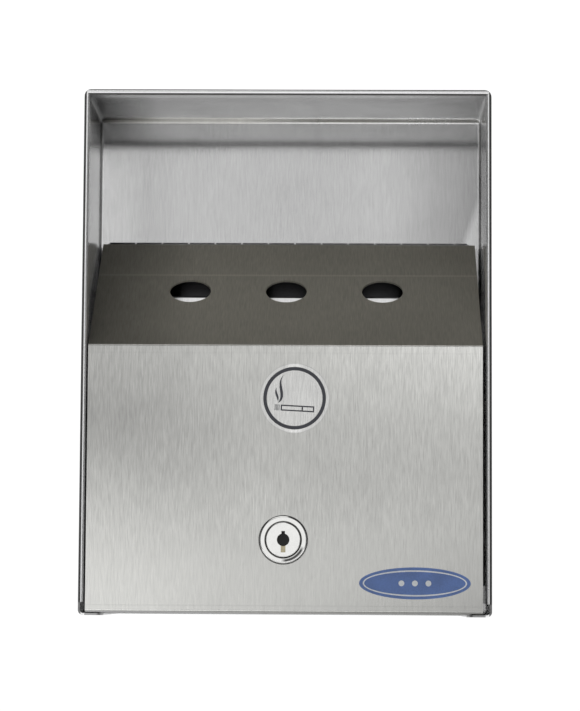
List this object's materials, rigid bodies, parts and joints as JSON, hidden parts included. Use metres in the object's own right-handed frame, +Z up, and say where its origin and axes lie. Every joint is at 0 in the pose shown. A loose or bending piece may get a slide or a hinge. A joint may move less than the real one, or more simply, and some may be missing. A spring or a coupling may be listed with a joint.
{
  "type": "wall-mounted ashtray bin",
  "caption": "Wall-mounted stainless ashtray bin: open hood over a sloped hinged lid with butt holes, a key-locked front cover and a lift-out ash pan inside.",
  "frame": {"origin": "centre of the four wall-screw holes, on the back face of the cabinet", "axes": "+X right seen from the front, -Y out of the wall towards the user, +Z up"},
  "size_m": [0.1844, 0.078, 0.2375],
  "materials": {
    "cabinet_steel": "brushed, vertical grain",
    "cover_steel": "brushed, vertical grain",
    "hinge_steel": "satin",
    "lock_chrome": "polished",
    "lock_zinc": "zinc plated",
    "lock_brass": "satin",
    "pan_steel": "mill finish",
    "film_clear": "gloss, clear",
    "print_dark": "printed ink",
    "badge_blue": "gloss",
    "badge_light": "printed ink"
  },
  "bodies": {
    "cabinet": {"back_panel": "cabinet_steel", "side_panel_left": "cabinet_steel", "side_panel_right": "cabinet_steel", "top_panel": "cabinet_steel", "floor_panel": "cabinet_steel", "hinge_leaf_fixed": "hinge_steel", "hinge_pin": "hinge_steel"},
    "door": {"cover": "cover_steel", "hinge_leaf_moving": "hinge_steel", "lock_housing": "lock_chrome", "lock_washer": "lock_zinc", "lock_nut": "lock_zinc", "decal_film": "film_clear", "decal_symbol": "print_dark", "badge": "badge_blue", "badge_print": "badge_light"},
    "lock": {"lock_plug": "lock_chrome", "lock_wafers": "lock_brass", "lock_cam": "lock_zinc", "cam_washer": "lock_zinc", "cam_screw": "lock_zinc"},
    "pan": {"ash_pan": "pan_steel"}
  },
  "joints": [
    {"name": "cover_hinge", "type": "hinge", "parent": "cabinet", "child": "door", "pos_m": [0, -0.0031, 0.0876], "axis": [-1, 0, 0], "range_deg": [0, 76]},
    {"name": "lock_turn", "type": "hinge", "parent": "door", "child": "lock", "pos_m": [-0.0008, -0.07, -0.0536], "axis": [0, 1, 0], "range_deg": [0, 90]},
    {"name": "pan_lift", "type": "slide", "parent": "cabinet", "child": "pan", "axis": [0, 0, 1], "range_m": [0, 0.014]}
  ]
}
